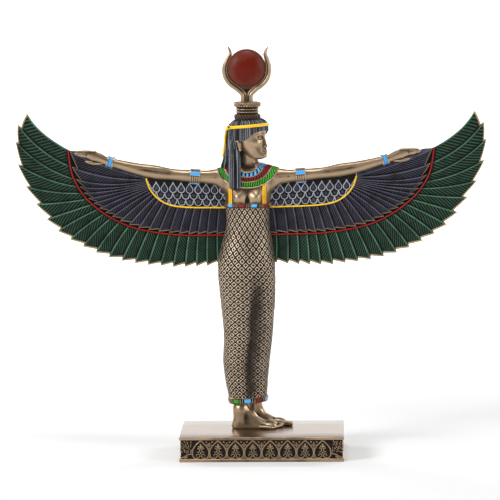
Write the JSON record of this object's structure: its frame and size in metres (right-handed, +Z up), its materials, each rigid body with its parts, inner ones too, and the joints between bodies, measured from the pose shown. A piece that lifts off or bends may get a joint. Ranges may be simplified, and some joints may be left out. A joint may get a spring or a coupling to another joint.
{
  "type": "winged isis statue",
  "caption": "Standing goddess with outspread feathered wings and a horned sun-disc headdress, cold-cast and hand-painted, on a rectangular carved plinth.",
  "frame": {"origin": "middle of the plinth's flat underside", "axes": "+Z up, -Y the side the chest and the wings' fronts face, +X the way the head and the feet point"},
  "size_m": [0.264, 0.058, 0.2303],
  "materials": {
    "painted_cold_cast_bronze": "resin cast with bronze powder, antiqued dark in the recesses, hand-painted in blue, green, red, yellow and black",
    "antiqued_cold_cast_bronze": "resin cast with bronze powder, polished top, dark recessed frieze"
  },
  "bodies": {
    "root": {"winged_figure": "painted_cold_cast_bronze", "plinth": "antiqued_cold_cast_bronze"}
  },
  "joints": []
}
